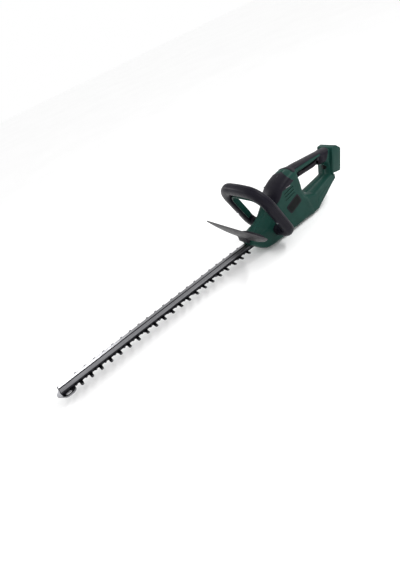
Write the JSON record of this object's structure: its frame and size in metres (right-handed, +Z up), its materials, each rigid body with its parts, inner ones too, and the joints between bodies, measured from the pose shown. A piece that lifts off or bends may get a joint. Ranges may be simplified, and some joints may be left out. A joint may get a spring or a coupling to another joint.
{
  "type": "hedge trimmer",
  "caption": "Cordless hedge trimmer with a rear D-handle, wrap-around front handle, wing guard and long double-sided counter-sliding blades under a support bar.",
  "frame": {"origin": "on the housing's flat underside, straight below the crank axle", "axes": "+X along the bar to its tip, +Y to the user's left, +Z up"},
  "size_m": [0.941, 0.234, 0.1964],
  "materials": {
    "green_shell": "moulded, fine grain",
    "soft_black": "soft overmould, satin",
    "black_plastic": "moulded, satin",
    "guard_grey": "moulded, satin",
    "switch_black": "moulded",
    "blade_steel": "dark, ground tooth faces",
    "bar_aluminium": "drawn, satin",
    "cast_aluminium": "cast",
    "screw_steel": "blackened",
    "bright_steel": "zinc plated",
    "bronze": "sintered",
    "contact_brass": "plated",
    "winding": "wound and varnished",
    "lead_red": "insulation",
    "lead_black": "insulation"
  },
  "bodies": {
    "frame": {"housing_left": "green_shell", "housing_right": "green_shell", "housing_screws": "screw_steel", "hump_cover": "soft_black", "grip_cover": "soft_black", "badge_plate": "black_plastic", "hand_guard": "guard_grey", "guard_screws": "screw_steel", "loop_rear_shell": "soft_black", "loop_front_shell": "soft_black", "loop_screws": "bright_steel", "bail_springs": "bright_steel", "bail_switch": "switch_black", "trigger_pin": "bright_steel", "trigger_spring": "bright_steel", "trigger_switch": "switch_black", "battery_rails": "black_plastic", "terminal_block": "switch_black", "terminal_blades": "contact_brass", "battery_leads": "lead_red", "motor_leads": "lead_black", "motor_can": "bright_steel", "motor_end_cap": "switch_black", "motor_magnets": "screw_steel", "motor_bearings": "bronze", "gearbox_base": "bright_steel", "gearbox_cover": "cast_aluminium", "gearbox_screws": "screw_steel", "crank_axle": "bright_steel", "axle_clip": "screw_steel", "support_bar": "bar_aluminium", "bar_bolts": "screw_steel", "bar_washers": "bright_steel", "bar_sleeves": "bright_steel", "bar_end_block": "black_plastic", "tip_guard": "bar_aluminium", "tip_screws": "screw_steel"},
    "trigger_lever": {"trigger": "black_plastic"},
    "squeeze_lever": {"bail_lever": "green_shell"},
    "crank": {"crank_gear": "bright_steel", "crank_bush": "bronze"},
    "motor_rotor": {"rotor": "winding", "motor_fan": "switch_black", "pinion": "bright_steel"},
    "cutter_upper": {"upper_blade": "blade_steel"},
    "cutter_lower": {"lower_blade": "blade_steel"}
  },
  "joints": [
    {"name": "trigger_pull", "type": "hinge", "parent": "frame", "child": "trigger_lever", "pos_m": [-0.184, 0, 0.131], "axis": [0, -1, 0], "range_deg": [0, 4.4], "stiffness_Nm_per_rad": 2, "springref_deg": -17.19, "deforming": ["trigger_spring"]},
    {"name": "bail_squeeze", "type": "slide", "parent": "frame", "child": "squeeze_lever", "axis": [0.3971, 0, 0.9178], "range_m": [0, 0.0045], "stiffness_N_per_m": 800, "springref_m": -0.01, "deforming": ["bail_springs"]},
    {"name": "crank_spin", "type": "hinge", "parent": "frame", "child": "crank", "pos_m": [0, 0, 0.04], "axis": [0, 0, 1], "range_deg": [-90, 90]},
    {"name": "upper_blade_slide", "type": "slide", "parent": "frame", "child": "cutter_upper", "axis": [1, 0, 0], "range_m": [-0.0055, 0.0055]},
    {"name": "lower_blade_slide", "type": "slide", "parent": "frame", "child": "cutter_lower", "axis": [1, 0, 0], "range_m": [-0.0055, 0.0055]},
    {"name": "rotor_spin", "type": "hinge", "parent": "frame", "child": "motor_rotor", "pos_m": [-0.03, 0, 0.08], "axis": [0, 0, 1], "range_deg": [-360, 360]}
  ],
  "couplings": [
    {"joint": "upper_blade_slide", "follows": "crank_spin", "m_per_rad": -0.0035},
    {"joint": "lower_blade_slide", "follows": "crank_spin", "m_per_rad": 0.0035},
    {"joint": "rotor_spin", "follows": "crank_spin", "ratio": -4}
  ]
}
